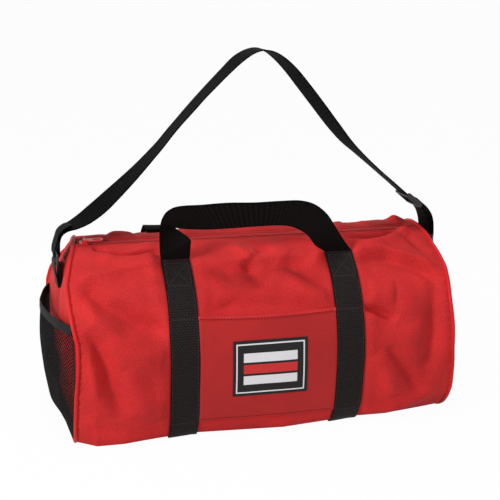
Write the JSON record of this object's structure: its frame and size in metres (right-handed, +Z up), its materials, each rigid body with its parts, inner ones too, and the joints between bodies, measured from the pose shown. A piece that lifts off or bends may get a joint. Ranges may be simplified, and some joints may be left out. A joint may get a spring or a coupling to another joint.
{
  "type": "roll bag",
  "caption": "Small barrel-shaped sports roll bag of woven cloth, with a top zip, two webbing handles, a shoulder strap, a front pocket and a mesh end pocket.",
  "frame": {"origin": "middle of the flat underside, on the surface that the bag stands on", "axes": "+X along the bag towards its right end, +Y to the rear, +Z up"},
  "size_m": [0.5437, 0.2749, 0.4946],
  "materials": {
    "red_cloth": "plain-woven 600-denier polyester, matt, with a soft nap",
    "red_piping": "smooth vinyl-covered piping cord, slight gloss",
    "red_tape": "herringbone zip tape",
    "red_vinyl": "smooth coated vinyl, satin",
    "red_hem": "turned and stitched vinyl edge, satin",
    "patch_print": "plain printed patch, satin",
    "black_binding": "folded polyester binding tape, matt",
    "black_mesh": "open knitted mesh",
    "black_webbing": "ribbed polypropylene webbing, faint sheen",
    "zip_chain": "moulded nylon, satin",
    "zip_metal": "enamelled die-cast zinc",
    "black_plastic": "moulded nylon, low gloss",
    "ring_plastic": "moulded acetal with a bright worn edge"
  },
  "bodies": {
    "bag": {"body_wrap": "red_cloth", "end_panel_left": "red_cloth", "end_panel_right": "red_cloth", "piping_left": "red_piping", "piping_right": "red_piping", "seam_binding_left": "black_binding", "seam_binding_right": "black_binding", "band_left": "black_webbing", "band_right": "black_webbing", "zip_tape_front": "red_tape", "zip_tape_rear": "red_tape", "zip_teeth_front": "zip_chain", "zip_teeth_rear": "zip_chain", "zip_top_stops": "zip_chain", "zip_bottom_stop": "zip_chain", "front_pocket": "red_vinyl", "front_pocket_hem": "red_hem", "pocket_patch": "patch_print", "mesh_pocket": "black_mesh", "mesh_pocket_hem": "black_binding", "anchor_tab_left": "black_webbing", "anchor_tab_right": "black_webbing"},
    "zip_slider": {"zip_slider": "zip_metal"},
    "zip_pull": {"zip_pull": "zip_metal"},
    "handle_front": {"handle_front": "black_webbing"},
    "handle_rear": {"handle_rear": "black_webbing"},
    "strap": {"ring_left": "ring_plastic", "ring_right": "ring_plastic", "shoulder_strap": "black_webbing", "strap_return": "black_webbing"},
    "strap_adjuster": {"strap_adjuster": "black_plastic"}
  },
  "joints": [
    {"name": "zip_slide", "type": "slide", "parent": "bag", "child": "zip_slider", "axis": [1, 0, 0], "range_m": [0, 0.4406], "deforming": ["zip_teeth_front", "zip_teeth_rear"]},
    {"name": "zip_pull_swing", "type": "hinge", "parent": "zip_slider", "child": "zip_pull", "pos_m": [-0.2218, -0.02405, 0.2514], "axis": [0, -0.9848, -0.1736], "range_deg": [0, 160]},
    {"name": "front_handle_fold", "type": "hinge", "parent": "bag", "child": "handle_front", "pos_m": [0, -0.07516, 0.23074], "axis": [1, 0, 0], "range_deg": [-80, 96]},
    {"name": "rear_handle_fold", "type": "hinge", "parent": "bag", "child": "handle_rear", "pos_m": [0, 0.03104, 0.24946], "axis": [1, 0, 0], "range_deg": [0, 145]},
    {"name": "strap_swing", "type": "hinge", "parent": "bag", "child": "strap", "pos_m": [0, -0.02, 0.216], "axis": [1, 0, 0], "range_deg": [-20, 42], "deforming": ["anchor_tab_left", "anchor_tab_right"]},
    {"name": "strap_adjust", "type": "slide", "parent": "strap", "child": "strap_adjuster", "axis": [-0.7579, 0, 0.6524], "range_m": [0, 0.075], "deforming": ["strap_return"]}
  ]
}
